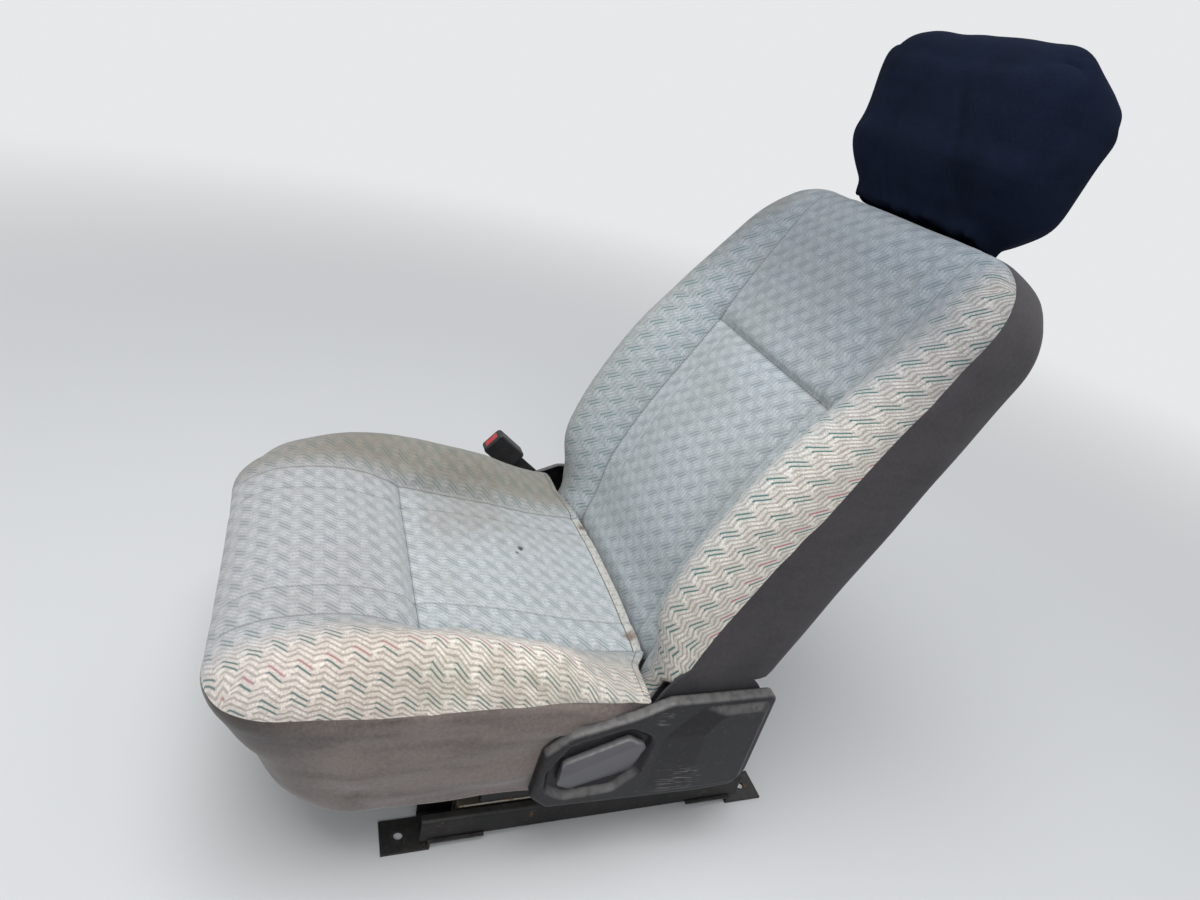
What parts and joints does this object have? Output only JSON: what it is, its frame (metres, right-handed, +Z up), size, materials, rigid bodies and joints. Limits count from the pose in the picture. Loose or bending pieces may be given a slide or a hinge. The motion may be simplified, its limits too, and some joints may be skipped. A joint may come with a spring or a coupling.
{
  "type": "van driver's seat",
  "caption": "Reclining driver's seat on two floor rails, with a sprung cushion, a lever cover, a belt buckle and a sliding headrest.",
  "frame": {"origin": "centre of the four floor bolt holes, on the underside of the rail feet", "axes": "+Z up; the seat faces -Y; +X is the door side, where the recline lever is"},
  "size_m": [0.5431, 0.8739, 0.9649],
  "materials": {
    "rail_steel": "black paint, worn glossy, some rust",
    "zinc_steel": "zinc plated, dull",
    "frame_steel": "black dip paint",
    "spring_wire": "dark spring wire",
    "cover_plastic": "charcoal moulded, fine grain",
    "seat_cloth": "woven, light blue-grey, with plain taupe sides",
    "headrest_cloth": "navy loose cover",
    "post_steel": "bright plated",
    "black_plastic": "black moulded",
    "red_plastic": "red press button"
  },
  "bodies": {
    "track": {"lower_rail_outer": "rail_steel", "lower_rail_inner": "rail_steel"},
    "seat": {"upper_rail_outer": "zinc_steel", "upper_rail_inner": "zinc_steel", "riser_front_outer": "frame_steel", "riser_front_inner": "frame_steel", "riser_rear_outer": "frame_steel", "riser_rear_inner": "frame_steel", "cushion_frame": "frame_steel", "cushion_springs": "spring_wire", "release_bar": "frame_steel", "recliner_lower_arm_outer": "frame_steel", "recliner_lower_arm_inner": "frame_steel", "cushion": "seat_cloth", "recliner_cover_outer": "cover_plastic", "recliner_cover_inner": "cover_plastic", "recline_lever": "cover_plastic", "buckle_strap": "black_plastic", "buckle_housing": "black_plastic", "buckle_button": "red_plastic"},
    "backrest": {"recliner_upper_arm_outer": "zinc_steel", "recliner_upper_arm_inner": "zinc_steel", "back_pad": "seat_cloth", "headrest_sleeve_outer": "black_plastic", "headrest_sleeve_inner": "black_plastic"},
    "headrest": {"headrest_post_outer": "post_steel", "headrest_post_inner": "post_steel", "headrest_pad": "headrest_cloth"}
  },
  "joints": [
    {"name": "seat_slide", "type": "slide", "parent": "track", "child": "seat", "axis": [0, -1, 0], "range_m": [-0.1, 0.11]},
    {"name": "back_recline", "type": "hinge", "parent": "seat", "child": "backrest", "pos_m": [0, 0.112, 0.22], "axis": [-1, 0, 0], "range_deg": [-15, 45]},
    {"name": "headrest_height", "type": "slide", "parent": "backrest", "child": "headrest", "axis": [0, 0.4289, 0.9033], "range_m": [0, 0.06]}
  ]
}
